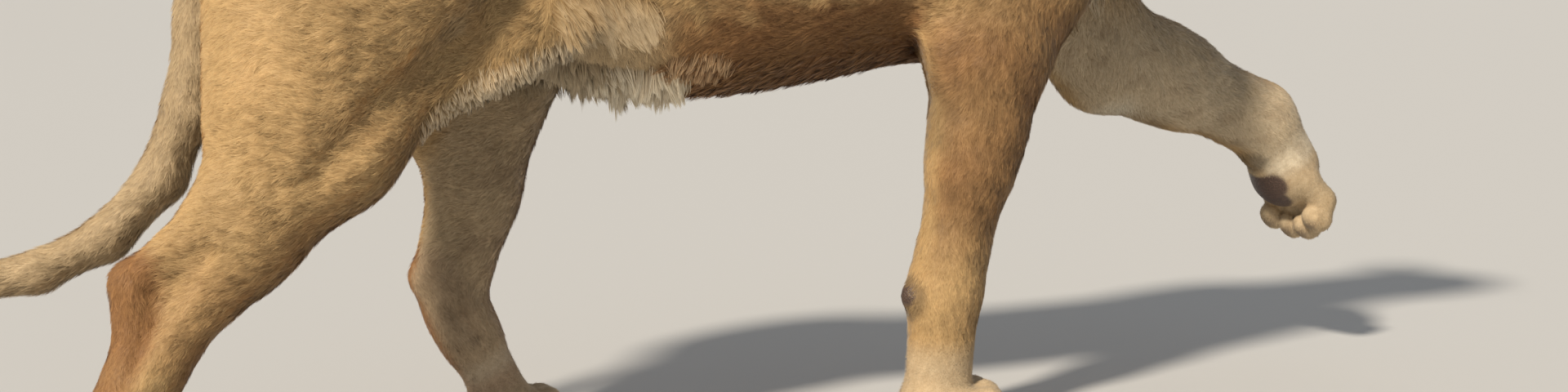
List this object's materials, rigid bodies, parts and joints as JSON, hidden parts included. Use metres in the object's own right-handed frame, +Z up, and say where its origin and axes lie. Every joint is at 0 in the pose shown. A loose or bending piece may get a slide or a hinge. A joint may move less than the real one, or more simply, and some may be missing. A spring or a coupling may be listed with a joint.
{
  "type": "lioness, walking model",
  "caption": "Life-size walking lioness with no mane, left forepaw lifted, head level and tail trailing low behind, as a still museum model.",
  "frame": {"origin": "on the floor, under the middle of the lioness's bounding box", "axes": "+X the way the lioness walks, +Y her left side, +Z up"},
  "size_m": [2.0638, 0.3838, 1.0006],
  "materials": {
    "coat": "short flat tawny fur, matt with a light sheen",
    "pale_coat": "short pale cream fur of the belly, the inner legs, the paws and the ears",
    "tuft": "long black-brown hair of the tail's tuft",
    "eye": "wet amber eye with a round pupil",
    "bare_skin": "dark bare skin of the nose, the lips and the pads of the paws",
    "claw": "horn-coloured claws and whiskers"
  },
  "bodies": {
    "root": {"chest": "coat", "belly": "coat", "rump": "coat", "neck": "coat", "head": "coat", "tail_root": "coat", "tail_1": "coat", "tail_2": "coat", "tail_3": "coat", "upper_arm_right": "coat", "forearm_right": "coat", "upper_arm_left": "coat", "forearm_left": "coat", "thigh_right": "coat", "shank_right": "coat", "thigh_left": "coat", "shank_left": "coat", "ear_left": "pale_coat", "ear_right": "pale_coat", "forepaw_right": "pale_coat", "forepaw_left": "pale_coat", "hindpaw_right": "pale_coat", "hindpaw_left": "pale_coat", "tail_tuft": "tuft", "eye_left": "eye", "eye_right": "eye"}
  },
  "joints": []
}
